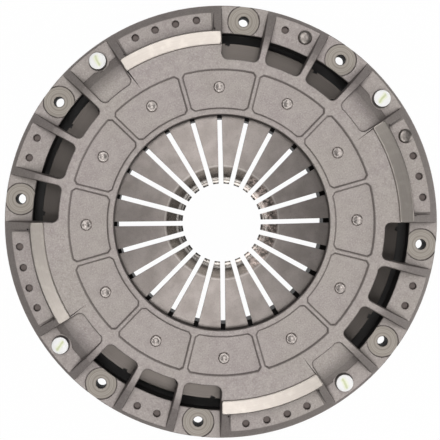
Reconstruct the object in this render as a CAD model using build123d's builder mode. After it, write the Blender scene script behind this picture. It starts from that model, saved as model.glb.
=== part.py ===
from build123d import *
import os
from math import asin, cos, degrees, radians, sin, tan

# Push-type clutch cover assembly of the 430 mm class: cast-iron cover, diaphragm spring and
# pressure plate, shown free, before it is bolted to a flywheel.
#
# Units are millimetres. Z is the clutch axis: Z = 0 is the face that meets the flywheel and +Z
# points at the gearbox. The cover repeats four times, and each quarter is centred on a diagonal.

# Bolt circle and flange
bolt_circle = 450.0
bolt_hole = 11.0
rim_margin = 16.5  # from the bolt circle out to the rim
bolt_pad_reach = 14.7  # from the bolt circle in to the open edge of a bolt pad
plain_pad_reach = 18.4  # the same, for the pads between the bolts
face_reach = 6.0  # from the bolt circle in to the edge of the machined face
face_relief = 3.0
flange_height = 14.0
spot_face = 35.0
spot_depth = 1.0
rim_height = 14.5

# Angles within a quarter, from its centre line
quarters = 4
bolt_angle = 15.0
inner_rib_angle = 7.55
outer_rib_angle = 22.5
strap_rib_angle = -37.3
strap_screw_angle = -31.0
balance_pad_angle = 3.0
balance_floor_angle = -61.5  # first of the four holes in a long floor
balance_floor_step = 6.0

# Heights of the cover above the flywheel face
ring_height = 34.5
bar_rise = 1.5
crest_height = 22.0  # where the sloping shoulder breaks towards the rim
floor_height = 22.0  # long floors
strap_pad_height = 17.0
plain_pad_height = 18.5
ring_wall = 9.5  # thickness of the ring over the spring
arch_height = 20.0  # underside of the ribs
arch_drop = 8.0

# Radii of the cover
bore = 236.0
lip_wall = 5.6  # thickness of the cover at its bore
window_radius = 179.5  # inner end of the open bays
strap_bay_radius = 182.0
strap_bay_slope_radius = 187.5  # where the floor of a strap bay starts to fall
strap_bay_drop = 3.0  # of that floor below the ring
strap_bay_knee_radius = 206.0  # where it turns down more steeply
strap_bay_knee_drop = 6.0  # of the knee below the ring
strap_bay_foot = 3.0  # of its lower end above the strap pad
arch_radius = 195.5  # where the underside of the ribs turns down to the flange
shoulder_reach = 15.5  # from the bolt circle in to the top of the sloping shoulder
crest_reach = 7.0  # from the bolt circle out to the break in that shoulder
bar_width = 15.5
bar_inset = 1.0  # from the far edge of a rib back to the end of a bar
bar_corner = 3.0
floor_reach = 14.0
rib_width = 9.5
draft = 3.0

# Pockets between the spokes of the ring
pocket_count = 12
pocket_inner = 125.6
pocket_outer = 166.2
spoke_width = 6.5
pocket_depth = 2.5
pocket_corner = 3.0
pocket_draft = 30.0

# Holes and rivets
balance_hole = 7.4
balance_depth = 3.5
balance_head = 16.0
balance_head_height = 3.4
balance_head_taper = 35.0
rivet_circle = 296.0
rivet_shank = 10.0
rivet_head = 12.5
rivet_head_height = 2.2
rivet_head_taper = 20.0
rivet_collar = 19.0
rivet_collar_height = 3.0
round_sides = 10  # flats that stand for the rounds of small fasteners and their holes

# Diaphragm spring
finger_count = 24
spring_thickness = 5.0
spring_radius = 178.5
spring_cone = 15.5  # degrees, outside the ends of the slots
finger_cone = 9.0
finger_cone_radius = 140.0
slot_width = 5.2
slot_end = 12.0  # square window at the root of each slot, round a rivet or open
tip_radius = 40.5
tip_bend_radius = 62.0
tip_crown_radius = 50.0
tip_crown = 1.0
tip_drop = 1.8
wire = 4.5
wire_sides = 4
bead_height = 5.5  # machined bead under the ring that the spring rocks on
bead_width = 6.0
fit = 0.05  # between pieces that bear on each other

# Pressure plate
plate_face = -28.0
plate_bore = 236.0
plate_radius = 216.0
plate_lip = 16.0
plate_body_radius = 202.5
plate_shelf = -2.0
plate_hub_height = -6.0
ridge_radius = 176.0
ridge_width = 12.0
ridge_crown = 3.0
travel = 5.4  # of the plate towards the cover, with the clutch free
notch = 3.5
notch_angle = 4.0  # past each bolt

# Straps between cover and plate
leaf_count = 3
leaf_thickness = 1.0
leaf_width = 20.0
strap_length = 95.0  # between hole centres
strap_flat = 13.0
leaf_corner = 4.0
strap_drop = 5.0  # plate end below cover end with the clutch free
strap_pad_wall = 5.5
strap_screw = 10.0
strap_screw_head = 18.7
strap_screw_head_height = 5.4
strap_washer = 18.0
strap_washer_height = 1.6
strap_nut = 16.0
strap_nut_height = 5.5
screw_end_reach = 0.8  # of the screw's thread below its nut
strap_nose = 13.2  # radius of the round front of a strap pad
strap_pad_reach = 8.0  # from the bolt circle in to the foot of the sloping floor
strap_rivet = 8.0
strap_rivet_head = 15.0
strap_rivet_head_height = 3.0
lug_width = 34.0
lug_tip_height = 8.0
lug_clearance = 1.5
cover_clearance = 0.5
arch_side = 1.0  # degrees past each side of a lug
rim_arch = 11.0

# Worked out from the sizes above
bolt_radius = bolt_circle / 2
rim_radius = bolt_radius + rim_margin
face_radius = bolt_radius - face_reach
cavity_radius = bolt_radius - plain_pad_reach
shoulder_radius = bolt_radius - shoulder_reach
crest_radius = bolt_radius + crest_reach
bar_inner = shoulder_radius - bar_width
bar_gap = 2 * bar_inset - rib_width  # negative, because a bar runs across its end ribs
above = 2 * ring_height
beyond = rim_radius + rim_margin
lap = 1.0  # millimetres or degrees by which cuts that join run into each other
ring_underside = ring_height - ring_wall
rivet_radius = rivet_circle / 2
slope = tan(radians(spring_cone))
finger_slope = tan(radians(finger_cone))
lean = cos(radians(spring_cone))

# The spring rocks between a bead of the cover and a wire ring that lies against the rivets
fulcrum_radius = rivet_radius + rivet_shank / 2 + wire / 2 + fit
spring_top = ring_underside - bead_height - fit
spring_rise = spring_thickness / lean
wire_height = spring_top - spring_rise - (wire / 2 + fit) / lean
collar_top = wire_height - wire / 2 - fit
finger_top = spring_top + (fulcrum_radius - finger_cone_radius) * slope
ridge_top = spring_top - spring_rise - (ridge_radius - fulcrum_radius) * slope - fit

# The straps run back from the cover's screws to the plate's lugs along chords of the bolt circle
strap_turn = 2 * degrees(asin(strap_length / 2 / bolt_radius))
lug_angle = strap_screw_angle - strap_turn
strap_seat = strap_pad_height - strap_pad_wall
leaf_pitch = leaf_thickness + fit
strap_pack = leaf_count * leaf_pitch
strap_bottom = strap_seat - strap_pack
lug_top = strap_bottom - strap_drop - fit
wall_radius = bolt_radius + leaf_width / 2 + lug_clearance
strap_roof = lug_top + strap_pack + strap_rivet_head_height + travel + cover_clearance
lug_side = degrees(asin(lug_width / 2 / bolt_radius)) + arch_side
seat_start = strap_screw_angle - degrees(asin(strap_washer / bolt_radius))
seat_end = strap_screw_angle + degrees(asin(strap_washer / bolt_radius))

quarter_angles = [45.0 + 360.0 / quarters * k for k in range(quarters)]
bolt_angles = [q + side * bolt_angle for q in quarter_angles for side in (-1, 1)]
first_pocket = quarter_angles[0] + balance_floor_angle - balance_floor_step
pocket_angles = [first_pocket + 360.0 / pocket_count * k for k in range(pocket_count)]
screw_angles = [q + strap_screw_angle for q in quarter_angles]
lug_angles = [q + lug_angle for q in quarter_angles]
pad_hole_angles = [q + side * balance_pad_angle for q in quarter_angles for side in (-1, 1)]
floor_hole_angles = [
    q + balance_floor_angle + k * balance_floor_step for q in quarter_angles for k in range(4)
]


def polar(radius, angle):
    """Point at a radius and an angle in degrees."""
    return radius * cos(radians(angle)), radius * sin(radians(angle))


def bay(start, end, inner, outer, rib):
    """Face between two parallel-sided ribs whose centre lines stand at start and end."""
    inner_lean = degrees(asin(rib / 2 / inner))
    outer_lean = degrees(asin(rib / 2 / outer))
    middle = (start + end) / 2
    inner_start = polar(inner, start + inner_lean)
    inner_end = polar(inner, end - inner_lean)
    outer_end = polar(outer, end - outer_lean)
    outer_start = polar(outer, start + outer_lean)
    with BuildSketch() as outline:
        with BuildLine():
            ThreePointArc(inner_start, polar(inner, middle), inner_end)
            Line(inner_end, outer_end)
            ThreePointArc(outer_end, polar(outer, middle), outer_start)
            Line(outer_start, inner_start)
        make_face()
    return outline.sketch


def spots(angles, radius, height):
    """Points at one radius and height, for holes and fasteners that go round the clutch."""
    return [(*polar(radius, angle), height) for angle in angles]


# Tool for the four strap bays, whose floors slope from the ring down to the strap pads
with BuildPart() as strap_bays:
    slope_end = bolt_radius - strap_pad_reach
    with BuildSketch(Plane.XY.offset(strap_pad_height)):
        for quarter in quarter_angles:
            start = quarter + strap_rib_angle
            end = quarter - outer_rib_angle
            add(bay(start, end, strap_bay_radius, beyond, rib_width))
    extrude(amount=above, taper=-draft)
    with BuildSketch(Plane.XZ):
        with BuildLine():
            Polyline(
                (window_radius, ring_height + above),
                (window_radius, ring_height - strap_bay_drop),
                (strap_bay_slope_radius, ring_height - strap_bay_drop),
                (strap_bay_knee_radius, ring_height - strap_bay_knee_drop),
                (slope_end, strap_pad_height + strap_bay_foot),
                (slope_end, strap_pad_height),
                (beyond, strap_pad_height),
                (beyond, ring_height + above),
                close=True,
            )
        make_face()
    revolve(axis=Axis.Z, mode=Mode.INTERSECT)

# Cover casting
with BuildPart() as cover_casting:
    with BuildSketch(Plane.XZ):
        with BuildLine():
            Polyline(
                (bore / 2, ring_height - lip_wall),
                (bore / 2, ring_height),
                (shoulder_radius, ring_height),
                (crest_radius, crest_height),
                (rim_radius, rim_height),
                (rim_radius, 0),
                (face_radius, 0),
                (face_radius, face_relief),
                (cavity_radius, face_relief),
                (cavity_radius, arch_height - arch_drop),
                (arch_radius, arch_height),
                (window_radius, ring_underside),
                (fulcrum_radius + bead_width / 2, ring_underside),
                (fulcrum_radius, ring_underside - bead_height),
                (fulcrum_radius - bead_width / 2, ring_underside),
                (finger_cone_radius, ring_underside),
                close=True,
            )
        make_face()
    revolve(axis=Axis.Z)

    # Polished bars, from rib to rib
    with BuildSketch(Plane.XY.offset(ring_height - bar_rise)) as bars:
        for quarter in quarter_angles:
            start = quarter + outer_rib_angle - 360 / quarters
            end = quarter + strap_rib_angle
            add(bay(start, end, bar_inner, shoulder_radius, bar_gap))
        fillet(bars.vertices(), bar_corner)
    extrude(amount=2 * bar_rise)

    # Bolt bays: open inside the pads, and clear above them
    with BuildSketch(Plane.XY.offset(flange_height + spot_depth)):
        for quarter in quarter_angles:
            for start, end in (
                (-outer_rib_angle, -inner_rib_angle),
                (inner_rib_angle, outer_rib_angle),
            ):
                add(bay(quarter + start, quarter + end, window_radius, beyond, rib_width))
    extrude(amount=above, taper=-draft, mode=Mode.SUBTRACT)
    with BuildSketch(Plane.XY.offset(flange_height + spot_depth)):
        for quarter in quarter_angles:
            for start, end in (
                (-outer_rib_angle, -inner_rib_angle),
                (inner_rib_angle, outer_rib_angle),
            ):
                inner = bolt_radius - bolt_pad_reach
                add(bay(quarter + start, quarter + end, window_radius, inner, rib_width))
    extrude(amount=-above, mode=Mode.SUBTRACT)

    # Plain bays between them
    with BuildSketch(Plane.XY.offset(plain_pad_height)):
        for quarter in quarter_angles:
            start = quarter - inner_rib_angle
            end = quarter + inner_rib_angle
            add(bay(start, end, window_radius, beyond, rib_width))
    extrude(amount=above, taper=-draft, mode=Mode.SUBTRACT)
    with BuildSketch(Plane.XY.offset(plain_pad_height)):
        for quarter in quarter_angles:
            start = quarter - inner_rib_angle
            end = quarter + inner_rib_angle
            add(bay(start, end, window_radius, cavity_radius, rib_width))
    extrude(amount=-above, mode=Mode.SUBTRACT)

    # Strap bays, and the round noses of their pads
    add(strap_bays.part, mode=Mode.SUBTRACT)
    with BuildSketch(Plane.XY.offset(strap_pad_height)):
        with Locations(*spots(screw_angles, bolt_radius, 0)):
            Circle(strap_nose)
    extrude(amount=above, mode=Mode.SUBTRACT)

    # Long floors outside the bars
    with BuildSketch(Plane.XY.offset(floor_height)):
        for quarter in quarter_angles:
            start = quarter + outer_rib_angle - 360 / quarters
            end = quarter + strap_rib_angle
            add(bay(start, end, bolt_radius - floor_reach, beyond, rib_width))
    extrude(amount=above, taper=-draft, mode=Mode.SUBTRACT)

    # Pockets round the rivets
    with BuildSketch(Plane.XY.offset(ring_height - pocket_depth)) as pockets:
        for angle in pocket_angles:
            half = 180 / pocket_count
            add(bay(angle - half, angle + half, pocket_inner, pocket_outer, spoke_width))
        chamfer(pockets.vertices(), pocket_corner)
    extrude(amount=2 * pocket_depth, taper=-pocket_draft, mode=Mode.SUBTRACT)

    # Spot faces and bolt holes
    with BuildSketch(Plane.XY.offset(flange_height)):
        with Locations(*spots(bolt_angles, bolt_radius, 0)):
            Circle(spot_face / 2)
    extrude(amount=2 * spot_depth, mode=Mode.SUBTRACT)
    with Locations(*spots(bolt_angles, bolt_radius, flange_height)):
        Hole(bolt_hole / 2)

    # Holes for the fulcrum rivets and the strap screws
    with BuildSketch(Plane.XY):
        with Locations(*spots(pocket_angles, rivet_radius, 0)):
            RegularPolygon(rivet_shank / 2 + fit, round_sides)
        with Locations(*spots(screw_angles, bolt_radius, 0)):
            RegularPolygon(strap_screw / 2 + fit, round_sides)
    extrude(amount=above, mode=Mode.SUBTRACT)

    # Balance holes, drilled where the cover carries no load
    with BuildSketch(Plane.XY.offset(plain_pad_height)):
        with Locations(*spots(pad_hole_angles, bolt_radius, 0)):
            RegularPolygon(balance_hole / 2, round_sides)
    extrude(amount=-balance_depth, mode=Mode.SUBTRACT)
    with BuildSketch(Plane.XY.offset(floor_height)):
        with Locations(*spots(floor_hole_angles, bolt_radius, 0)):
            RegularPolygon(balance_hole / 2, round_sides)
    extrude(amount=-balance_depth, mode=Mode.SUBTRACT)

    # Hollows under the long floors for the plate's lugs and the straps, open at the rim
    with BuildSketch(Plane.XY):
        for quarter in quarter_angles:
            start = quarter + lug_angle - lug_side
            add(bay(start, quarter + seat_start, cavity_radius - lap, wall_radius, 0))
    extrude(amount=strap_roof, mode=Mode.SUBTRACT)
    with BuildSketch(Plane.XY):
        for quarter in quarter_angles:
            start = quarter + seat_start - lap
            add(bay(start, quarter + seat_end, cavity_radius - lap, wall_radius, 0))
    extrude(amount=strap_seat, mode=Mode.SUBTRACT)
    with BuildSketch(Plane.XY):
        for lug in lug_angles:
            add(bay(lug - lug_side, lug + lug_side, wall_radius - lap, beyond, 0))
    extrude(amount=rim_arch, mode=Mode.SUBTRACT)
cover_casting.part.label = "cover_casting"

# Diaphragm spring: two cones, with a raised crown near the finger tips for the release bearing
with BuildPart() as diaphragm_spring:
    rim_top = spring_top - (spring_radius - fulcrum_radius) * slope
    bend_top = finger_top + (finger_cone_radius - tip_bend_radius) * finger_slope
    upper_line = [
        (spring_radius, rim_top),
        (finger_cone_radius, finger_top),
        (tip_bend_radius, bend_top),
        (tip_crown_radius, bend_top + tip_crown),
        (tip_radius, bend_top + tip_crown - tip_drop),
    ]
    tip_bottom = finger_top + (finger_cone_radius - tip_radius) * finger_slope - spring_rise
    with BuildSketch(Plane.XZ):
        with BuildLine():
            Polyline(
                *upper_line,
                (tip_radius, tip_bottom),
                (finger_cone_radius, finger_top - spring_rise),
                (spring_radius, rim_top - spring_rise),
                close=True,
            )
        make_face()
    revolve(axis=Axis.Z)
    with BuildSketch(Plane.XY):
        with PolarLocations(rivet_radius / 2, finger_count, pocket_angles[0]):
            Rectangle(rivet_radius, slot_width)
        with PolarLocations(rivet_radius, finger_count, pocket_angles[0]):
            Rectangle(slot_end, slot_end)
    extrude(amount=above, mode=Mode.SUBTRACT)
diaphragm_spring.part.label = "diaphragm_spring"

# Fulcrum ring: wire that holds the spring up against the cover's bead
with BuildPart() as fulcrum_ring:
    with BuildSketch(Plane.XZ):
        with Locations((fulcrum_radius, wire_height)):
            RegularPolygon(wire / 2, wire_sides)
    revolve(axis=Axis.Z)
fulcrum_ring.part.label = "fulcrum_ring"

# Fulcrum rivets: the collar carries the ring, and the head is formed in the pocket
with BuildPart() as fulcrum_rivets:
    pocket_floor = ring_height - pocket_depth
    with BuildSketch(Plane.XY.offset(collar_top)):
        with Locations(*spots(pocket_angles, rivet_radius, 0)):
            RegularPolygon(rivet_collar / 2, round_sides)
    extrude(amount=-rivet_collar_height)
    with BuildSketch(Plane.XY.offset(collar_top)):
        with Locations(*spots(pocket_angles, rivet_radius, 0)):
            RegularPolygon(rivet_shank / 2, round_sides)
    extrude(amount=pocket_floor + rivet_head_height - collar_top)
    with BuildSketch(Plane.XY.offset(pocket_floor + fit)):
        with Locations(*spots(pocket_angles, rivet_radius, 0)):
            RegularPolygon(rivet_head / 2, round_sides)
    extrude(amount=rivet_head_height, taper=rivet_head_taper)
fulcrum_rivets.part.label = "fulcrum_rivets"

# Balance rivets, pressed into one balance hole each
with BuildPart() as balance_rivets:
    for angle, height in (
        (quarter_angles[0] - balance_pad_angle, plain_pad_height),
        (quarter_angles[0] + balance_floor_angle + 3 * balance_floor_step, floor_height),
    ):
        with BuildSketch(Plane.XY.offset(height + fit)):
            with Locations(polar(bolt_radius, angle)):
                RegularPolygon(balance_hole / 2 - fit, round_sides)
        extrude(amount=-balance_depth)
        with BuildSketch(Plane.XY.offset(height + fit)):
            with Locations(polar(bolt_radius, angle)):
                RegularPolygon(balance_head / 2, round_sides)
        extrude(amount=balance_head_height, taper=balance_head_taper)
balance_rivets.part.label = "balance_rivets"

# Pressure plate
with BuildPart() as pressure_plate:
    lip_top = plate_face + plate_lip
    with BuildSketch(Plane.XZ):
        with BuildLine():
            Polyline(
                (plate_bore / 2, plate_face),
                (plate_radius, plate_face),
                (plate_radius, lip_top),
                (plate_body_radius, lip_top),
                (plate_body_radius, plate_shelf),
                (ridge_radius + ridge_width / 2, plate_shelf),
                (ridge_radius, ridge_top),
                (ridge_radius - ridge_crown, ridge_top),
                (ridge_radius - ridge_width / 2, plate_hub_height),
                (plate_bore / 2, plate_hub_height),
                close=True,
            )
        make_face()
    revolve(axis=Axis.Z)

    # Lugs, with a recess under each for the strap rivet's lower head
    for lug in lug_angles:
        with BuildSketch(Plane(origin=(0, 0, lug_top)).rotated((0, 0, lug))):
            with Locations((bolt_radius, 0)):
                Circle(leaf_width / 2)
            with Locations((plate_body_radius, 0)):
                Rectangle(lug_clearance, lug_width)
            make_hull()
        extrude(amount=-lug_tip_height)
        with BuildSketch(Plane(origin=(0, 0, lug_top)).rotated((0, 0, lug))):
            with Locations((plate_body_radius, 0)):
                Rectangle(2 * (plate_radius - plate_body_radius), lug_width - lug_tip_height)
        extrude(amount=lip_top - lug_top - fit)
    with BuildSketch(Plane.XY.offset(lug_top - lug_tip_height)):
        with Locations(*spots(lug_angles, bolt_radius, 0)):
            RegularPolygon(strap_rivet_head / 2 + fit, round_sides)
    extrude(amount=strap_rivet_head_height, mode=Mode.SUBTRACT)
    with BuildSketch(Plane.XY.offset(lug_top)):
        with Locations(*spots(lug_angles, bolt_radius, 0)):
            RegularPolygon(strap_rivet / 2 + fit, round_sides)
    extrude(amount=-lug_tip_height, mode=Mode.SUBTRACT)

    # Notches in the edge of the shelf
    with BuildSketch(Plane.XY.offset(plate_shelf)):
        with Locations(*spots([a + notch_angle for a in bolt_angles], plate_body_radius, 0)):
            RegularPolygon(notch, 4)
    extrude(amount=-notch, mode=Mode.SUBTRACT)
pressure_plate.part.label = "pressure_plate"

# Straps: packs of leaves that run back from the cover's screws to the plate's lugs
strap_leaves = []
for quarter_number, quarter in enumerate(quarter_angles):
    screw_spot = Vector(*polar(bolt_radius, quarter + strap_screw_angle))
    lug_spot = Vector(*polar(bolt_radius, quarter + lug_angle))
    along = (lug_spot - screw_spot).normalized()
    for leaf_number in range(leaf_count):
        top = Vector(0, 0, strap_seat - fit - leaf_number * leaf_pitch)
        side = Plane(origin=screw_spot + top, x_dir=along, z_dir=along.cross(Vector(0, 0, 1)))
        with BuildPart() as strap_leaf:
            with BuildSketch(side):
                with BuildLine():
                    Polyline(
                        (-leaf_width / 2, 0),
                        (strap_flat, 0),
                        (strap_length - strap_flat, -strap_drop),
                        (strap_length + leaf_width / 2, -strap_drop),
                        (strap_length + leaf_width / 2, -strap_drop - leaf_thickness),
                        (strap_length - strap_flat, -strap_drop - leaf_thickness),
                        (strap_flat, -leaf_thickness),
                        (-leaf_width / 2, -leaf_thickness),
                        close=True,
                    )
                make_face()
            extrude(amount=leaf_width / 2, both=True)
            chamfer(strap_leaf.edges().filter_by(Axis.Z), leaf_corner)
            with BuildSketch(Plane.XY):
                with Locations(screw_spot):
                    RegularPolygon(strap_screw / 2 + fit, round_sides)
                with Locations(lug_spot):
                    RegularPolygon(strap_rivet / 2 + fit, round_sides)
            extrude(amount=above, mode=Mode.SUBTRACT)
        strap_leaf.part.label = f"strap_{quarter_number + 1}_leaf_{leaf_number + 1}"
        strap_leaves.append(strap_leaf)

# Strap screws, washers and nuts at the cover end
with BuildPart() as strap_screws:
    washer_top = strap_bottom - fit
    nut_top = washer_top - strap_washer_height - fit
    screw_end = nut_top - strap_nut_height - screw_end_reach
    with BuildSketch(Plane.XY.offset(screw_end)):
        with Locations(*spots(screw_angles, bolt_radius, 0)):
            RegularPolygon(strap_screw / 2, round_sides)
    extrude(amount=strap_pad_height + fit - screw_end)
    with BuildSketch(Plane.XY.offset(strap_pad_height + fit)):
        with Locations(*spots(screw_angles, bolt_radius, 0)):
            Circle(strap_screw_head / 2)
    extrude(amount=strap_screw_head_height)
strap_screws.part.label = "strap_screws"

with BuildPart() as strap_washers:
    with BuildSketch(Plane.XY.offset(washer_top)):
        with Locations(*spots(screw_angles, bolt_radius, 0)):
            RegularPolygon(strap_washer / 2, round_sides)
            RegularPolygon(strap_screw / 2 + fit, round_sides, mode=Mode.SUBTRACT)
    extrude(amount=-strap_washer_height)
strap_washers.part.label = "strap_washers"

with BuildPart() as strap_nuts:
    with BuildSketch(Plane.XY.offset(nut_top)):
        with Locations(*spots(screw_angles, bolt_radius, 0)):
            RegularPolygon(strap_nut / 2, 6, major_radius=False)
            RegularPolygon(strap_screw / 2 + fit, round_sides, mode=Mode.SUBTRACT)
    extrude(amount=-strap_nut_height)
strap_nuts.part.label = "strap_nuts"

# Strap rivets at the plate end
with BuildPart() as strap_rivets:
    lug_bottom = lug_top - lug_tip_height
    pack_top = strap_seat - strap_drop
    with BuildSketch(Plane.XY.offset(lug_bottom)):
        with Locations(*spots(lug_angles, bolt_radius, 0)):
            RegularPolygon(strap_rivet / 2, round_sides)
    extrude(amount=pack_top + strap_rivet_head_height - lug_bottom)
    with BuildSketch(Plane.XY.offset(lug_bottom)):
        with Locations(*spots(lug_angles, bolt_radius, 0)):
            RegularPolygon(strap_rivet_head / 2, round_sides)
    extrude(amount=strap_rivet_head_height - fit)
    with BuildSketch(Plane.XY.offset(pack_top)):
        with Locations(*spots(lug_angles, bolt_radius, 0)):
            RegularPolygon(strap_rivet_head / 2, round_sides)
    extrude(amount=strap_rivet_head_height)
strap_rivets.part.label = "strap_rivets"

os.makedirs("parts", exist_ok=True)
for piece in (
    cover_casting,
    diaphragm_spring,
    fulcrum_ring,
    fulcrum_rivets,
    balance_rivets,
    pressure_plate,
    *strap_leaves,
    strap_screws,
    strap_washers,
    strap_nuts,
    strap_rivets,
):
    export_step(piece.part, f"parts/{piece.part.label}.step")
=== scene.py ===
"""Looks of a push-type clutch cover with its diaphragm spring and pressure plate.

The sections follow the clutch as it is put together. Lengths are in metres and the clutch
axis is Z, with the flywheel side down.
"""

from math import cos, pi, radians, sin

import bmesh
import bpy
from mathutils import Matrix, Vector


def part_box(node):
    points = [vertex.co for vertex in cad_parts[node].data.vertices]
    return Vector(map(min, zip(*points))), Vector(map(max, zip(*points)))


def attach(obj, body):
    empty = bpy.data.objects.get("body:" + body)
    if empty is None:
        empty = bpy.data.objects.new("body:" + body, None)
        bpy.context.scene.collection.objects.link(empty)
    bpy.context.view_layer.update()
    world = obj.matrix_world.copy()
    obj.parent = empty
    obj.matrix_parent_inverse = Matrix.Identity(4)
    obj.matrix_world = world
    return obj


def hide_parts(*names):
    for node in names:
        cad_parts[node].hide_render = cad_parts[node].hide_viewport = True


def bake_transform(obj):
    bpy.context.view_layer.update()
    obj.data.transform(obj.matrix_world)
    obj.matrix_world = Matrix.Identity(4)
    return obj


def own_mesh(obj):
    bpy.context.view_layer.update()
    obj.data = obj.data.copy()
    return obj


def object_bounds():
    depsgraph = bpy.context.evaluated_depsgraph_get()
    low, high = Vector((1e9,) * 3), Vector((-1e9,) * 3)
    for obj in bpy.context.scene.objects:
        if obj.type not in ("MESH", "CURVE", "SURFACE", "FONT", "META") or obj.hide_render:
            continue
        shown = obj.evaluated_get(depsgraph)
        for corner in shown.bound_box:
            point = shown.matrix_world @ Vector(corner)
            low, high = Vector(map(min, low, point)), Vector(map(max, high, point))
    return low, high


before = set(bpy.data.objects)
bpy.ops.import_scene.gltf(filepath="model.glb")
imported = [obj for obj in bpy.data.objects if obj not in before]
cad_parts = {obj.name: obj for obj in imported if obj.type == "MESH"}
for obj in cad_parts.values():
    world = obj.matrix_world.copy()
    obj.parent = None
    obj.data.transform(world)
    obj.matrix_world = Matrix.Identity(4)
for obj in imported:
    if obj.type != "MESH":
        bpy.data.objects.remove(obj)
cad_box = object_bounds()


# Cover casting
# Sand-cast grey iron, shot-blasted, with rounded edges and corners. Four bars are ground
# bright and a spot face is turned round each bolt hole. Shade is painted near-black on the
# inner walls behind the pads and in the bolt holes.
MM = 0.001
QUARTER = pi / 2
BOLT_RADIUS = 225 * MM
BOLT_ANGLE = radians(15)
SCREW_ANGLE = radians(-31)
PLAIN_PAD_LEVEL = 18.5 * MM
STRAP_PAD_LEVEL = 17 * MM
BAR_LEVEL = 35 * MM
SPOT_FACE_RADIUS = 17 * MM
BOLT_HOLE_REACH = 6 * MM
CAST_EDGE = 1.1 * MM
BAY_GROUP_ANGLE = radians(37.6)
BAY_GROUP_SPREAD = radians(31.7)
# Height of the corners, the radii that they lie between, and the size of their round.
CORNERS = ((34.5 * MM, 176 * MM, 184 * MM, 6 * MM), (34 * MM, 209 * MM, 212 * MM, 3 * MM))
FILL_STEPS = 5
FILL_ROOT = 0.3 * MM
RIM_EDGE = 236 * MM
FLAT_ANGLE = radians(0.05)
SEAM_REACH = 7 * MM
FACET_ANGLE = radians(20)
SOFT_ANGLE = radians(32)


def tone(red, green, blue):
    """A screen colour, 0 to 255, as the light values that the shader takes."""
    return (*(((c / 255 + 0.055) / 1.055) ** 2.4 for c in (red, green, blue)), 1.0)


class Wire:
    """A value in a material. Sums on it add the Math nodes that work them out."""

    def __init__(self, finish, socket):
        self.finish = finish
        self.socket = socket

    def __add__(self, other):
        return self.finish.maths("ADD", self, other)

    def __sub__(self, other):
        return self.finish.maths("SUBTRACT", self, other)

    def __rsub__(self, other):
        return self.finish.maths("SUBTRACT", other, self)

    def __mul__(self, other):
        return self.finish.maths("MULTIPLY", self, other)

    def __truediv__(self, other):
        return self.finish.maths("DIVIDE", self, other)

    def __pow__(self, other):
        return self.finish.maths("POWER", self, other)

    def __abs__(self):
        return self.finish.maths("ABSOLUTE", self)

    def __lt__(self, other):
        return self.finish.maths("LESS_THAN", self, other)

    def __gt__(self, other):
        return self.finish.maths("GREATER_THAN", self, other)

    __radd__ = __add__
    __rmul__ = __mul__

    def fraction(self):
        return self.finish.maths("FRACT", self)

    def rise(self, low, high):
        """0 below low and 1 above high, with a smooth step between."""
        settings = {"interpolation_type": "SMOOTHSTEP"}
        values = {"Value": self, "From Min": low, "From Max": high}
        return self.finish.node("ShaderNodeMapRange", settings, values)

    def within(self, low, high, edge):
        """1 between low and high, fading out over edge on both sides."""
        return self.rise(low - edge, low) * (1 - self.rise(high, high + edge))


class Finish:
    """A material whose pattern is worked out from the place on the clutch."""

    def __init__(self, name, **uniform):
        self.material = bpy.data.materials.new(name)
        self.material.use_nodes = True
        self.tree = self.material.node_tree
        self.shader = self.tree.nodes["Principled BSDF"]
        for socket, value in uniform.items():
            self.shader.inputs[socket.replace("_", " ")].default_value = value
        self.place = self.node("ShaderNodeTexCoord", output="Object")
        split = {"Vector": self.place}
        self.x = self.node("ShaderNodeSeparateXYZ", {}, split, "X")
        self.y = self.node("ShaderNodeSeparateXYZ", {}, split, "Y")
        self.z = self.node("ShaderNodeSeparateXYZ", {}, split, "Z")
        self.radius = (self.x * self.x + self.y * self.y) ** 0.5
        self.angle = self.maths("ARCTAN2", self.y, self.x)

    def node(self, kind, settings=None, values=None, output=0):
        """Adds any node, with its settings first and then the values or wires of its sockets."""
        added = self.tree.nodes.new(kind)
        for name, value in (settings or {}).items():
            setattr(added, name, value)
        for name, value in (values or {}).items():
            self.feed(added.inputs[name], value)
        return Wire(self, added.outputs[output])

    def feed(self, socket, value):
        if isinstance(value, Wire):
            self.tree.links.new(value.socket, socket)
        else:
            socket.default_value = value

    def maths(self, operation, *values):
        return self.node("ShaderNodeMath", {"operation": operation}, dict(enumerate(values)))

    def blend(self, share, colour, other):
        """Colour where share is 0 and the other where it is 1."""
        values = {0: share, 6: colour, 7: other}
        return self.node("ShaderNodeMix", {"data_type": "RGBA"}, values, 2)

    def grain(self, size, detail=2.0, roughness=0.5):
        """Noise from 0 to 1 whose spots are about size across."""
        values = {"Vector": self.place, "Scale": 1 / size, "Detail": detail, "Roughness": roughness}
        return self.node("ShaderNodeTexNoise", {}, values)

    def from_quarter(self, middle):
        """Angle from the nearest of four places a quarter turn apart, -45 to 45 degrees."""
        turn = ((self.angle - middle) / QUARTER + 0.5).fraction()
        return (turn - 0.5) * QUARTER

    def towards(self, direction):
        """1 on that side of the clutch and -1 on the other."""
        return self.maths("COSINE", self.angle - direction)

    def around(self, radius, angle):
        """Distance from a point at that radius and angle from a quarter's centre line."""
        turn = self.from_quarter(QUARTER / 2 + angle)
        across = self.radius * self.maths("SINE", turn)
        along = self.radius * self.maths("COSINE", turn) - radius
        return (across * across + along * along) ** 0.5

    def paint(self, colour, roughness):
        self.feed(self.shader.inputs["Base Color"], colour)
        self.feed(self.shader.inputs["Roughness"], roughness)

    def relief(self, height, distance, round_edges=0.0):
        """Bump from a height of 0 to 1, over edges that shade as if rounded."""
        values = {"Height": height, "Distance": distance}
        if round_edges:
            softened = self.node("ShaderNodeBevel", {"samples": 6}, {"Radius": round_edges})
            values["Normal"] = softened
        self.feed(self.shader.inputs["Normal"], self.node("ShaderNodeBump", {}, values))


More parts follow.
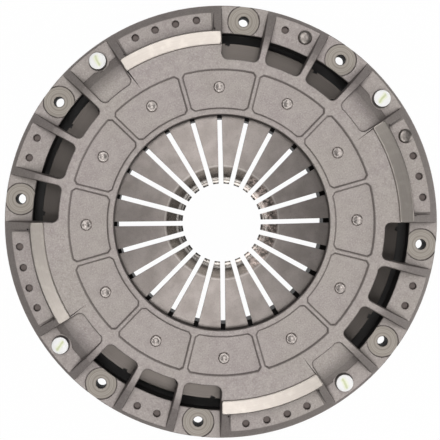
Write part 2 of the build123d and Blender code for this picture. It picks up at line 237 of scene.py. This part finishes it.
def piece(name, mesh, finish, body, slot, *nodes):
    """Makes an object of a finished mesh, which stands for those CAD nodes on their body."""
    data = bpy.data.meshes.new(name)
    mesh.to_mesh(data)
    mesh.free()
    data.materials.append(finish.material)
    made = bpy.data.objects.new(name, data)
    bpy.context.scene.collection.objects.link(made)
    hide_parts(*nodes)
    if body:
        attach(made, body)
    return made


def soften(mesh, angle=SOFT_ANGLE):
    """Smooth shading, broken at edges sharper than the angle."""
    for face in mesh.faces:
        face.smooth = True
    for edge in mesh.edges:
        edge.smooth = len(edge.link_faces) == 2 and edge.calc_face_angle(0) < angle


def merged(node):
    """A CAD node's surface with its loose triangles joined."""
    mesh = bmesh.new()
    mesh.from_mesh(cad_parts[node].data)
    bmesh.ops.remove_doubles(mesh, verts=mesh.verts, dist=0.001 * MM)
    soften(mesh)
    return mesh


def inner_corners(mesh, height, low, high):
    """Inward vertical edges that end at a height, between two distances from the axis."""
    found = []
    for edge in mesh.edges:
        one, other = sorted((point.co for point in edge.verts), key=lambda place: place.z)
        if (
            edge.calc_face_angle_signed(0) < -SOFT_ANGLE
            and other.z - one.z > 0.8 * (other - one).length
            and abs(other.z - height) < 0.1 * MM
            and low < one.xy.length < high
        ):
            normals = [face.normal.copy() for face in edge.link_faces]
            found.append((one.copy(), other.copy(), normals))
    return found


def corner_fills(corners, size):
    """The iron that rounds such corners to a radius of that size."""
    fills = bmesh.new()
    for one, other, normals in corners:
        left, right = (Vector((normal.x, normal.y, 0)).normalized() for normal in normals)
        middle = (left + right) * (size / (1 + left.dot(right)))
        turns = [step / FILL_STEPS for step in range(FILL_STEPS + 1)]
        rounded = [middle + (-left).slerp(-right, turn) * size for turn in turns]
        inside = [
            rounded[-1] - right * FILL_ROOT,
            (left + right) * -FILL_ROOT,
            rounded[0] - left * FILL_ROOT,
        ]
        lower, upper = (
            [fills.verts.new(place + step) for step in rounded + inside] for place in (one, other)
        )
        fills.faces.new(lower)
        fills.faces.new(upper)
        for k in range(len(lower)):
            fills.faces.new((lower[k - 1], lower[k], upper[k], upper[k - 1]))
    bmesh.ops.recalc_face_normals(fills, faces=fills.faces)
    return fills


def united(mesh, other):
    """One surface round two closed ones."""
    holders = []
    for part in (mesh, other):
        data = bpy.data.meshes.new("part")
        part.to_mesh(data)
        part.free()
        holders.append(bpy.data.objects.new("part", data))
        bpy.context.scene.collection.objects.link(holders[-1])
    union = holders[0].modifiers.new("union", "BOOLEAN")
    union.operation = "UNION"
    union.solver = "EXACT"
    union.object = holders[1]
    result = bmesh.new()
    result.from_object(holders[0], bpy.context.evaluated_depsgraph_get())
    bmesh.ops.remove_doubles(result, verts=result.verts, dist=0.02 * MM)
    for holder in holders:
        bpy.data.meshes.remove(holder.data)
    return result


def is_level(face):
    return face.normal.z > 0.999999


def cast(node, lowest):
    """A CAD node's surface, its bays' corners rounded and its outward edges above lowest."""
    mesh = merged(node)
    places = []
    for height, low, high, size in CORNERS:
        corners = inner_corners(mesh, height, low, high)
        places += [top for bottom, top, normals in corners]
        mesh = united(mesh, corner_fills(corners, size))
    seams = [
        edge
        for edge in mesh.edges
        if all(is_level(face) for face in edge.link_faces)
        and any((point.co - place).length < SEAM_REACH for point in edge.verts for place in places)
    ]
    bmesh.ops.dissolve_limit(mesh, angle_limit=FLAT_ANGLE, verts=[], edges=seams)
    outward = [
        edge
        for edge in mesh.edges
        if edge.calc_face_angle_signed(0) > SOFT_ANGLE
        and min(point.co.z for point in edge.verts) > lowest
        and edge.verts[0].co.xy.length < RIM_EDGE
    ]
    bmesh.ops.bevel(
        mesh,
        geom=outward,
        offset=CAST_EDGE,
        segments=2,
        profile=0.5,
        affect="EDGES",
        material=-1,
    )
    soften(mesh, FACET_ANGLE)
    return mesh


cast_iron = Finish("shot_blasted_iron", Metallic=0.2, IOR=1.5)
blasted = cast_iron.grain(1.6 * MM, 3, 0.65)
mottle = cast_iron.grain(9 * MM, 4, 0.6)
patches = cast_iron.grain(70 * MM, 2)
iron = cast_iron.blend(mottle.rise(0.3, 0.7), tone(168, 158, 155), tone(180, 171, 167))
iron = cast_iron.blend(patches.rise(0.35, 0.75) * 0.5, iron, tone(176, 169, 160))
iron = cast_iron.blend(blasted.rise(0.48, 0.72) * 0.45, iron, tone(136, 126, 123))
iron = cast_iron.blend(blasted.rise(0.3, 0.46), tone(192, 184, 180), iron)

# Painted shade: steep walls, creases and falling shoulders are darkened as if they lay in shade.
edge_lean = cast_iron.node("ShaderNodeBevel", {"samples": 8}, {"Radius": 2.0 * MM})
upward = cast_iron.node("ShaderNodeSeparateXYZ", {}, {"Vector": edge_lean}, "Z")
steep_wall_shade = (1 - abs(upward)).rise(0.16, 0.55)
in_bays = 1 - cast_iron.radius.rise(RIM_EDGE, RIM_EDGE + 3 * MM)
iron = cast_iron.blend(steep_wall_shade * in_bays * 0.85, iron, tone(72, 64, 61))
in_bay_group = abs(cast_iron.from_quarter(BAY_GROUP_ANGLE)) < BAY_GROUP_SPREAD
falling_shade = cast_iron.radius.rise(188 * MM, 208 * MM) * in_bay_group * (cast_iron.z > 19.5 * MM)
shoulder_shade = cast_iron.maths("MAXIMUM", (1 - abs(upward)).rise(0.03, 0.12), falling_shade) * (1 - steep_wall_shade)
iron = cast_iron.blend(shoulder_shade * 0.58, iron, tone(78, 71, 68))
open_air = cast_iron.node(
    "ShaderNodeAmbientOcclusion", {"samples": 8, "only_local": True}, {"Distance": 7 * MM}, "AO"
)
crease_shade = (1 - open_air).rise(0.2, 0.75)
iron = cast_iron.blend(crease_shade * 0.75, iron, tone(66, 58, 55))

nearest_bolt = cast_iron.maths(
    "MINIMUM",
    cast_iron.around(BOLT_RADIUS, BOLT_ANGLE),
    cast_iron.around(BOLT_RADIUS, -BOLT_ANGLE),
)
at_pads = cast_iron.z.within(13.8 * MM, 15.3 * MM, 0.2 * MM)
past_spot_face = nearest_bolt.rise(SPOT_FACE_RADIUS - 0.2 * MM, SPOT_FACE_RADIUS + 0.1 * MM)
on_spot_face = (1 - past_spot_face) * at_pads
spot_edge = nearest_bolt.within(SPOT_FACE_RADIUS, SPOT_FACE_RADIUS + 0.8 * MM, 0.4 * MM) * at_pads
tool_marks = cast_iron.node(
    "ShaderNodeTexNoise",
    {"noise_dimensions": "1D"},
    {"W": nearest_bolt / (1.7 * MM), "Scale": 1.0, "Detail": 2.0},
)
turned_face = cast_iron.blend(tool_marks.rise(0.3, 0.7), tone(146, 138, 130), tone(178, 170, 160))
iron = cast_iron.blend(on_spot_face, iron, turned_face)
# Painted shade along the step round each spot face, patchy in strength.
patchy_spot_shade = mottle.rise(0.4, 0.55)
iron = cast_iron.blend(spot_edge * (0.25 + patchy_spot_shade * 0.6), iron, tone(92, 84, 80))

# Painted shadow in the gap round each strap screw's head.
screw_gap_shadow = cast_iron.around(BOLT_RADIUS, SCREW_ANGLE).within(8.0 * MM, 10.2 * MM, 0.5 * MM)
iron = cast_iron.blend(screw_gap_shadow * (cast_iron.z < 18 * MM) * 0.8, iron, tone(44, 40, 37))

on_bar = cast_iron.z > BAR_LEVEL
bar_marks = cast_iron.node(
    "ShaderNodeTexNoise",
    {"noise_dimensions": "1D"},
    {"W": cast_iron.radius / (0.9 * MM), "Scale": 1.0, "Detail": 3.0},
)
bright = cast_iron.blend(bar_marks, tone(154, 147, 141), tone(168, 161, 154))
bright = cast_iron.blend(mottle.rise(0.45, 0.7) * 0.3, bright, tone(186, 178, 170))
iron = cast_iron.blend(on_bar, iron, bright)

# Painted shade in the balance holes: dark walls, and lighter bottoms where they face up.
floor_hole = cast_iron.z.within(17.5 * MM, 21.6 * MM, 0.1 * MM) * (
    abs(cast_iron.from_quarter(QUARTER / 2 - radians(52.5))) < radians(11)
)
pad_hole = cast_iron.z.within(14.6 * MM, 18.2 * MM, 0.1 * MM) * (
    abs(cast_iron.from_quarter(QUARTER / 2)) < radians(4.4)
)
hole = (floor_hole + pad_hole) * cast_iron.radius.within(221 * MM, 229 * MM, 0.1 * MM)
hole_shade = cast_iron.blend(upward.rise(0.3, 0.8), tone(58, 51, 48), tone(112, 101, 97))
iron = cast_iron.blend(hole, iron, hole_shade)

# Painted shade: near-black, and without shine, on the inner walls behind the pads and in the bolt
# holes.
behind_bolt_pad = (cast_iron.z < 13.7 * MM) * (cast_iron.radius < 214 * MM)
behind_plain_pad = (cast_iron.z < 18.1 * MM) * (cast_iron.radius < 207.5 * MM)
bolt_hole = (nearest_bolt < BOLT_HOLE_REACH) * (cast_iron.z < 13.9 * MM)
painted_shade_inside = cast_iron.maths(
    "MAXIMUM", cast_iron.maths("MAXIMUM", behind_bolt_pad, behind_plain_pad), bolt_hole
)
iron = cast_iron.blend(painted_shade_inside, iron, tone(20, 18, 17))

cast_iron.paint(iron, (0.6 + blasted * 0.12) * (1 - on_bar) + on_bar * (0.36 + bar_marks * 0.06))
cast_iron.feed(cast_iron.shader.inputs["Metallic"], 0.2 * (1 - painted_shade_inside) + on_bar * 0.8)
skin = (blasted + mottle * 0.5) * (1 - on_bar) * (1 - on_spot_face * 0.7)
cast_iron.relief(skin - spot_edge * 0.8, 0.35 * MM, 1.0 * MM)
cover = piece(
    "cast_cover", cast("cover_casting", 13 * MM), cast_iron, "cover", "cover", "cover_casting"
)


# Fulcrum ring
# Hard-drawn round wire, closed into a hoop. The spring rocks on it, and the rivets' collars
# carry it.
RING_LOW, RING_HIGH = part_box("fulcrum_ring")
WIRE_RADIUS = 2.25 * MM
WIRE_SIDES = 14
TURN_STEPS = 120


def turned(profile, steps):
    """A solid of revolution from the points of its profile, radius and height."""
    mesh = bmesh.new()
    points = [mesh.verts.new((radius, 0, height)) for radius, height in profile]
    for first, second in zip(points, points[1:]):
        mesh.edges.new((first, second))
    bmesh.ops.spin(
        mesh,
        geom=mesh.verts[:] + mesh.edges[:],
        cent=(0, 0, 0),
        axis=(0, 0, 1),
        angle=2 * pi,
        steps=steps,
        use_merge=True,
    )
    bmesh.ops.remove_doubles(mesh, verts=mesh.verts, dist=0.01 * MM)
    bmesh.ops.recalc_face_normals(mesh, faces=mesh.faces)
    soften(mesh)
    return mesh


drawn_wire = Finish("drawn_wire", Metallic=1.0)
drawn_wire.paint(
    drawn_wire.blend(drawn_wire.grain(4 * MM), tone(120, 115, 112), tone(150, 145, 140)),
    0.3 + drawn_wire.grain(2 * MM) * 0.2,
)
wire_middle = RING_HIGH.x - WIRE_RADIUS
wire_height = (RING_LOW.z + RING_HIGH.z) / 2
wire_profile = [
    (
        wire_middle + WIRE_RADIUS * cos(2 * pi * k / WIRE_SIDES),
        wire_height + WIRE_RADIUS * sin(2 * pi * k / WIRE_SIDES),
    )
    for k in range(WIRE_SIDES + 1)
]
piece("wire_ring", turned(wire_profile, TURN_STEPS), drawn_wire, "cover", "spring", "fulcrum_ring")


# Diaphragm spring
# One disc of spring steel, slit into 24 fingers, shot-peened and oiled. The finger tips are
# hardened by induction, which tints them, and polished where the release bearing rubs.
SHEEN_SIDE = radians(-25)
TIP_RADIUS = 42.5 * MM

spring_steel = Finish("peened_spring_steel", Metallic=1.0)
peening = spring_steel.grain(1.5 * MM, 3, 0.6)
rolled = spring_steel.grain(18 * MM, 3)
steel = spring_steel.blend(rolled.rise(0.3, 0.7), tone(127, 120, 116), tone(142, 135, 131))
steel = spring_steel.blend(peening.rise(0.5, 0.75) * 0.3, steel, tone(98, 92, 88))
wear = spring_steel.grain(4 * MM, 3, 0.6)
hardened = 1 - spring_steel.radius.rise(59.6 * MM, 61.4 * MM)
steel = spring_steel.blend(hardened * (0.7 + wear * 0.4), steel, tone(66, 61, 56))
rubbed = (1 - spring_steel.radius.rise(48.8 * MM, 50.4 * MM)) * (0.4 + wear * 0.5)
steel = spring_steel.blend(rubbed, steel, tone(178, 173, 168))
quench_line = spring_steel.radius.within(61.6 * MM, 62.4 * MM, 0.6 * MM)
steel = spring_steel.blend(quench_line * (0.1 + wear * 0.4), steel, tone(184, 179, 173))
groove = spring_steel.radius.within(46.2 * MM, 47.0 * MM, 0.5 * MM)
end_band = 1 - spring_steel.radius.rise(43.6 * MM, 44.3 * MM)
dark_bands = spring_steel.maths("MAXIMUM", groove, end_band)
steel = spring_steel.blend(dark_bands * 0.75, steel, tone(58, 52, 46))
# Painted highlight: the hardened tips are lighter towards one side of the spring, broken into
# speckles by the wear grain.
sheen_side = spring_steel.towards(SHEEN_SIDE).rise(0.3, 0.8)
wear_and_sheen = hardened * sheen_side * wear.rise(0.38, 0.66) * 0.6
steel = spring_steel.blend(wear_and_sheen, steel, tone(206, 188, 180))
spring_steel.paint(steel, 0.4 - hardened * 0.16 + peening * 0.08)
spring_steel.relief(peening * (1 - hardened) + wear * hardened * 0.7, 0.18 * MM, 0.5 * MM)
disc = merged("diaphragm_spring")
# The ends of the fingers are cut back to the tip radius.
for point in disc.verts:
    if point.co.xy.length < TIP_RADIUS:
        point.co.xy *= TIP_RADIUS / point.co.xy.length
diaphragm = piece("diaphragm", disc, spring_steel, "cover", "spring", "diaphragm_spring")
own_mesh(diaphragm)


# Fulcrum rivets
# Twelve stepped rivets. The turned collar carries the wire ring, and the plain end is formed
# into a low head in the cover's pocket, with the dimple that the rivet set leaves.
RIVET_CIRCLE = 148 * MM
RIVET_LOW, RIVET_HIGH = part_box("fulcrum_rivets")
RIVET_COUNT = 12
FIRST_RIVET = radians(-22.5)
ROUND_STEPS = 32


def take_in(mesh, other):
    """Adds another mesh to this one and gives its new points."""
    data = bpy.data.meshes.new("other")
    other.to_mesh(data)
    before = set(mesh.verts)
    mesh.from_mesh(data)
    bpy.data.meshes.remove(data)
    return [point for point in mesh.verts if point not in before]


def ring_of(one, radius, angles):
    """Copies of a mesh that stands on the clutch axis, moved out to those angles."""
    mesh = bmesh.new()
    for angle in angles:
        place = Matrix.Rotation(angle, 4, "Z") @ Matrix.Translation((radius, 0, 0))
        bmesh.ops.transform(mesh, matrix=place, verts=take_in(mesh, one))
    one.free()
    return mesh


formed_steel = Finish("formed_rivet_steel", Metallic=1.0)
scuffs = formed_steel.grain(1.5 * MM, 3)
formed_steel.paint(
    formed_steel.blend(scuffs.rise(0.35, 0.7), tone(146, 138, 134), tone(184, 177, 172)),
    0.34 + scuffs * 0.22,
)
formed_steel.relief(scuffs, 0.08 * MM)
rivet_top = RIVET_HIGH.z
pocket_floor = rivet_top - 2.2 * MM
collar_bottom = RIVET_LOW.z
rivet_profile = [
    (0, collar_bottom),
    (8.6 * MM, collar_bottom),
    (9.4 * MM, collar_bottom + 0.8 * MM),
    (9.4 * MM, collar_bottom + 2.6 * MM),
    (9.0 * MM, collar_bottom + 3.0 * MM),
    (5.0 * MM, collar_bottom + 3.0 * MM),
    (5.0 * MM, pocket_floor),
    (6.3 * MM, pocket_floor),
    (6.3 * MM, pocket_floor + 0.8 * MM),
    (5.9 * MM, rivet_top - 0.6 * MM),
    (5.1 * MM, rivet_top - 0.1 * MM),
    (4.4 * MM, rivet_top),
    (3.4 * MM, rivet_top - 0.3 * MM),
    (2.0 * MM, rivet_top - 0.9 * MM),
    (0, rivet_top - 1.1 * MM),
]
rivet_angles = [FIRST_RIVET + 2 * pi * k / RIVET_COUNT for k in range(RIVET_COUNT)]
rivets = ring_of(turned(rivet_profile, ROUND_STEPS), RIVET_CIRCLE, rivet_angles)
piece("spring_rivets", rivets, formed_steel, "cover", "rivets", "fulcrum_rivets")


# Balance rivets
# Two domed steel rivets with smeared, dull heads, each pressed into a balance hole. One is in
# a plain pad and the other at the end of a long floor.
BALANCE_RADIUS = 8 * MM
BALANCE_HEIGHT = 3.4 * MM
BALANCE_DEPTH = 3.4 * MM
FLOOR_LEVEL = 22 * MM

domed_steel = Finish("domed_rivet_steel", Metallic=1.0)
smears = domed_steel.grain(2.5 * MM, 2)
domed_steel.paint(
    domed_steel.blend(smears, tone(112, 106, 102), tone(158, 151, 146)), 0.3 + smears * 0.2
)
domed_steel.relief(smears, 0.35 * MM)


def balance_rivet(level):
    """Profile of a domed head on its shank, seated at that level."""
    return [
        (0, level - BALANCE_DEPTH),
        (3.5 * MM, level - BALANCE_DEPTH),
        (3.5 * MM, level + 0.1 * MM),
        (7.2 * MM, level + 0.1 * MM),
        (BALANCE_RADIUS, level + 0.9 * MM),
        (7.5 * MM, level + 1.9 * MM),
        (6.2 * MM, level + 2.8 * MM),
        (4.2 * MM, level + 3.25 * MM),
        (2.0 * MM, level + BALANCE_HEIGHT),
        (0, level + BALANCE_HEIGHT),
    ]


domes = bmesh.new()
for level, angle in ((PLAIN_PAD_LEVEL, radians(42)), (FLOOR_LEVEL, radians(1.5))):
    take_in(domes, ring_of(turned(balance_rivet(level), ROUND_STEPS), BOLT_RADIUS, [angle]))
piece("domed_rivets", domes, domed_steel, "cover", "rivets", "balance_rivets")


# Pressure plate
# A heavy ring of grey iron. Its shelf is turned, and the face that grips the clutch disc is
# ground; elsewhere the plate is painted near-black for the shade that it lies in under the cover.
plate_iron = Finish("pressure_plate_iron", IOR=1.5)
crust = plate_iron.grain(1.2 * MM, 3)
lathe = plate_iron.node(
    "ShaderNodeTexNoise",
    {"noise_dimensions": "1D"},
    {"W": plate_iron.radius / (0.5 * MM), "Scale": 1.0, "Detail": 2.0},
)
past_ridge = plate_iron.radius.within(181 * MM, 204 * MM, 0.5 * MM)
on_shelf = plate_iron.z.rise(-2.4 * MM, -2.2 * MM) * past_ridge
on_face = plate_iron.z < -27.8 * MM
machined = plate_iron.blend(lathe, tone(72, 67, 63), tone(92, 86, 82))
ground = plate_iron.blend(lathe, tone(160, 156, 152), tone(180, 176, 172))
# Painted shade: near-black on all of the plate but its turned shelf and ground face.
painted_shade_black = plate_iron.blend(crust, tone(24, 23, 22), tone(38, 36, 35))
coloured = plate_iron.blend(on_shelf, painted_shade_black, machined)
coloured = plate_iron.blend(on_face, coloured, ground)
turned_metal = plate_iron.maths("MAXIMUM", on_shelf, on_face)
plate_iron.paint(coloured, 0.6 - turned_metal * 0.25)
plate_iron.feed(plate_iron.shader.inputs["Metallic"], turned_metal * 0.8)
plate_iron.relief(crust * (1 - turned_metal) + lathe * turned_metal * 0.4, 0.15 * MM, 0.7 * MM)
plate_mesh = merged("pressure_plate")
piece("plate_ring", plate_mesh, plate_iron, "pressure_plate", "plate", "pressure_plate")


# Straps
# Packs of three spring-steel leaves that hold the plate to the cover, drive it, and draw it
# back. Each leaf bends in an S between the cover's screw and the plate's rivet.
LEAF_COUNT = 3
LEAF_BENDS = 9
STRAP_FLAT = 13 * MM
STRAP_TURN = radians(-24.3713)

strap_steel = Finish("rolled_strap_steel", Metallic=1.0)
scale_marks = strap_steel.grain(3 * MM, 3)
strap_steel.paint(
    strap_steel.blend(scale_marks, tone(112, 108, 106), tone(140, 136, 132)),
    0.35 + scale_marks * 0.2,
)


def around_clutch(angle, radius=BOLT_RADIUS):
    return Vector((radius * cos(angle), radius * sin(angle), 0))


for quarter in range(4):
    screw_at = around_clutch(QUARTER * (quarter + 0.5) + SCREW_ANGLE)
    rivet_at = around_clutch(QUARTER * (quarter + 0.5) + SCREW_ANGLE + STRAP_TURN)
    along = (rivet_at - screw_at).normalized()
    bend_start = screw_at + along * STRAP_FLAT
    bend_end = rivet_at - along * STRAP_FLAT
    for leaf in range(LEAF_COUNT):
        node = f"strap_{quarter + 1}_leaf_{leaf + 1}"
        mesh = merged(node)
        for cut in range(LEAF_BENDS + 1):
            bmesh.ops.bisect_plane(
                mesh,
                geom=mesh.verts[:] + mesh.edges[:] + mesh.faces[:],
                dist=0.0001 * MM,
                plane_co=bend_start.lerp(bend_end, cut / LEAF_BENDS),
                plane_no=along,
            )
        strap = piece(f"bent_{node}", mesh, strap_steel, None, "straps", node)
        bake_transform(strap)


# Strap screws
# Flat round heads dabbed white once they are tightened, with a yellow-green stroke of the
# inspector's pen over the white.
SCREW_LOW, SCREW_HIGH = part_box("strap_screws")
HEAD_RADIUS = 9.35 * MM

marked = Finish("marking_paint", IOR=1.45)
dab = marked.grain(3 * MM, 3)
off_screw = marked.from_quarter(QUARTER / 2 + SCREW_ANGLE)
across_head = BOLT_RADIUS * marked.maths("SINE", off_screw)
along_head = marked.radius * marked.maths("COSINE", off_screw) - BOLT_RADIUS
pen_lean = (marked.x * marked.y > 0) * 2 - 1
waver = (marked.grain(7 * MM, 2) - 0.5) * 2.5 * MM
off_stroke = abs(across_head - pen_lean * along_head * 0.22 + waver)
ink_ends = 1 - abs(along_head).rise(4.5 * MM, 7.5 * MM)
ink = (1 - off_stroke.rise(0.4 * MM, 1.8 * MM)) * ink_ends
bleed = (1 - off_stroke.rise(1.5 * MM, 4.5 * MM)) * ink_ends
white = marked.blend(dab, tone(250, 249, 247), tone(255, 255, 254))
painted = marked.blend(bleed * (0.3 + dab * 0.6), white, tone(240, 244, 208))
painted = marked.blend(ink * (0.45 + dab * 0.5), painted, tone(204, 212, 158))
on_head = marked.z > STRAP_PAD_LEVEL + 4.6 * MM
bare = marked.blend(dab, tone(92, 86, 84), tone(122, 116, 112))
marked.paint(marked.blend(on_head, bare, painted), 0.42)
marked.relief(dab, 0.1 * MM)
screw_profile = [
    (0, SCREW_LOW.z),
    (4.4 * MM, SCREW_LOW.z),
    (5.0 * MM, SCREW_LOW.z + 0.6 * MM),
    (5.0 * MM, STRAP_PAD_LEVEL + 0.05 * MM),
    (HEAD_RADIUS - 0.5 * MM, STRAP_PAD_LEVEL + 0.05 * MM),
    (HEAD_RADIUS, STRAP_PAD_LEVEL + 0.5 * MM),
    (HEAD_RADIUS, SCREW_HIGH.z - 0.7 * MM),
    (HEAD_RADIUS - 0.2 * MM, SCREW_HIGH.z - 0.25 * MM),
    (HEAD_RADIUS - 0.7 * MM, SCREW_HIGH.z),
    (0, SCREW_HIGH.z),
]
screw_angles = [QUARTER * (k + 0.5) + SCREW_ANGLE for k in range(4)]
screws = ring_of(turned(screw_profile, ROUND_STEPS), BOLT_RADIUS, screw_angles)
piece("painted_screws", screws, marked, "cover", "paint", "strap_screws")


# Washers and nuts
# A plain washer and a hexagon nut of zinc-plated steel under each strap pack, tightened on the
# strap screw from below.
WASHER_LOW, WASHER_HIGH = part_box("strap_washers")

zinc = Finish("zinc_plate", Metallic=1.0)
spangle = zinc.grain(2 * MM, 2)
zinc.paint(zinc.blend(spangle, tone(150, 150, 148), tone(186, 186, 182)), 0.3 + spangle * 0.15)
washer_profile = [
    (5.1 * MM, WASHER_LOW.z),
    (8.7 * MM, WASHER_LOW.z),
    (9.0 * MM, WASHER_LOW.z + 0.3 * MM),
    (9.0 * MM, WASHER_HIGH.z - 0.3 * MM),
    (8.7 * MM, WASHER_HIGH.z),
    (5.1 * MM, WASHER_HIGH.z),
    (5.1 * MM, WASHER_LOW.z),
]
washers = ring_of(turned(washer_profile, ROUND_STEPS), BOLT_RADIUS, screw_angles)
piece("zinc_washers", washers, zinc, "cover", "zinc", "strap_washers")
nuts = piece("hexagon_nuts", merged("strap_nuts"), zinc, "cover", "zinc", "strap_nuts")
chamfer = nuts.modifiers.new("chamfer", "BEVEL")
chamfer.width = 0.5 * MM
chamfer.segments = 2
chamfer.limit_method = "ANGLE"
chamfer.angle_limit = radians(40)


# Strap rivets
# Round-headed steel rivets that fix each strap pack to a lug of the plate. They travel with
# the plate.
STUD_LOW, STUD_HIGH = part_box("strap_rivets")
stud_profile = [
    (0, STUD_LOW.z),
    (6.6 * MM, STUD_LOW.z),
    (7.3 * MM, STUD_LOW.z + 0.7 * MM),
    (7.3 * MM, STUD_LOW.z + 2.9 * MM),
    (4.0 * MM, STUD_LOW.z + 2.9 * MM),
    (4.0 * MM, STUD_HIGH.z - 3.0 * MM),
    (7.3 * MM, STUD_HIGH.z - 3.0 * MM),
    (7.4 * MM, STUD_HIGH.z - 2.0 * MM),
    (6.4 * MM, STUD_HIGH.z - 0.8 * MM),
    (4.2 * MM, STUD_HIGH.z - 0.1 * MM),
    (0, STUD_HIGH.z),
]
stud_angles = [angle + STRAP_TURN for angle in screw_angles]
studs = ring_of(turned(stud_profile, ROUND_STEPS), BOLT_RADIUS, stud_angles)
piece("strap_studs", studs, formed_steel, "pressure_plate", "rivets", "strap_rivets")


# Room
# A white floor at the plate's face, with the world white behind it. Two softboxes hang over the
# top and the bottom of the view, a low one lights the right, and nothing stands to the left.
CLUTCH_TURN = radians(23.5)
FLOOR_SIZE = 8.0
FLOOR_GLOW = 0.985
BACKGROUND = 1.0
SKY_LIGHT = 0.12


def glow(tree, colour, strength):
    shader = tree.nodes.new("ShaderNodeEmission")
    shader.inputs["Color"].default_value = colour
    shader.inputs["Strength"].default_value = strength
    return shader


def mirrored(tree):
    """1 for rays from the camera, off glossy things and through clear ones, else 0."""
    ray = tree.nodes.new("ShaderNodeLightPath")
    share = ray.outputs["Is Camera Ray"]
    for kind in ("Is Glossy Ray", "Is Transmission Ray"):
        either = tree.nodes.new("ShaderNodeMath")
        either.operation = "MAXIMUM"
        tree.links.new(share, either.inputs[0])
        tree.links.new(ray.outputs[kind], either.inputs[1])
        share = either.outputs[0]
    return share


def surface(tree, share, plain, bright, output):
    """Shows the plain shader where share is 0 and the bright one where it is 1."""
    mixed = tree.nodes.new("ShaderNodeMixShader")
    tree.links.new(share, mixed.inputs["Fac"])
    tree.links.new(plain.outputs[0], mixed.inputs[1])
    tree.links.new(bright.outputs[0], mixed.inputs[2])
    tree.links.new(mixed.outputs[0], tree.nodes[output].inputs["Surface"])


floor_mesh = bmesh.new()
bmesh.ops.create_grid(floor_mesh, x_segments=1, y_segments=1, size=FLOOR_SIZE / 2)
bmesh.ops.translate(floor_mesh, verts=floor_mesh.verts, vec=(0, 0, cad_box[0][2]))
floor_data = bpy.data.meshes.new("floor")
floor_mesh.to_mesh(floor_data)
floor_mesh.free()
floor = bpy.data.objects.new("floor", floor_data)
bpy.context.scene.collection.objects.link(floor)
paper = bpy.data.materials.new("pale_paper")
paper.use_nodes = True
tree = paper.node_tree
matt = tree.nodes["Principled BSDF"]
matt.inputs["Base Color"].default_value = (0.8, 0.8, 0.8, 1)
matt.inputs["Roughness"].default_value = 0.9
seen = tree.nodes.new("ShaderNodeMath")
seen.operation = "MULTIPLY"
seen.inputs[1].default_value = FLOOR_GLOW
tree.links.new(mirrored(tree), seen.inputs[0])
surface(tree, seen.outputs[0], matt, glow(tree, (1, 1, 1, 1), BACKGROUND), "Material Output")
floor_data.materials.append(paper)

world = bpy.data.worlds.new("studio")
bpy.context.scene.world = world
world.use_nodes = True
sky = world.node_tree
dim = sky.nodes["Background"]
dim.inputs["Color"].default_value = (1, 1, 1, 1)
dim.inputs["Strength"].default_value = SKY_LIGHT
backdrop = sky.nodes.new("ShaderNodeBackground")
backdrop.inputs["Strength"].default_value = BACKGROUND
ray = sky.nodes.new("ShaderNodeLightPath")
surface(sky, ray.outputs["Is Camera Ray"], dim, backdrop, "World Output")


def softbox(name, x, y, height, width, depth, power):
    """An area light at x to the right and y up in the view, aimed at the clutch."""
    light = bpy.data.lights.new(name, "AREA")
    light.shape = "RECTANGLE"
    light.size = width
    light.size_y = depth
    light.energy = power
    holder = bpy.data.objects.new(name, light)
    bpy.context.scene.collection.objects.link(holder)
    place = Matrix.Rotation(-CLUTCH_TURN, 4, "Z") @ Matrix.Translation((x, y, height))
    aim = Vector((-x, -y, -height)).to_track_quat("-Z", "Y").to_matrix().to_4x4()
    holder.matrix_world = place @ aim


softbox("upper_softbox", -0.1, 0.7, 1.5, 1.0, 0.9, 12)
softbox("lower_softbox", -0.07, -0.7, 1.5, 1.0, 0.9, 12)
softbox("right_softbox", 1.7, -0.3, 0.6, 0.8, 0.8, 8)


# Camera
# Straight above the clutch, a little up and to the left of its axis in the view. It is turned
# with the lights, so the clutch stands 23.5 degrees round, and the lens shift centres it.
LENS = 58.53
CAMERA_HEIGHT = 0.814
FOOT = (-0.037, 0.037)
SHIFT = (0.0733, -0.0714)

camera = bpy.data.cameras.new("camera")
camera.lens = LENS
camera.shift_x, camera.shift_y = SHIFT
holder = bpy.data.objects.new("camera", camera)
bpy.context.scene.collection.objects.link(holder)
turn = Matrix.Rotation(-CLUTCH_TURN, 4, "Z")
holder.matrix_world = turn @ Matrix.Translation((*FOOT, CAMERA_HEIGHT))
bpy.context.scene.camera = holder
bpy.context.scene.view_settings.view_transform = "Standard"
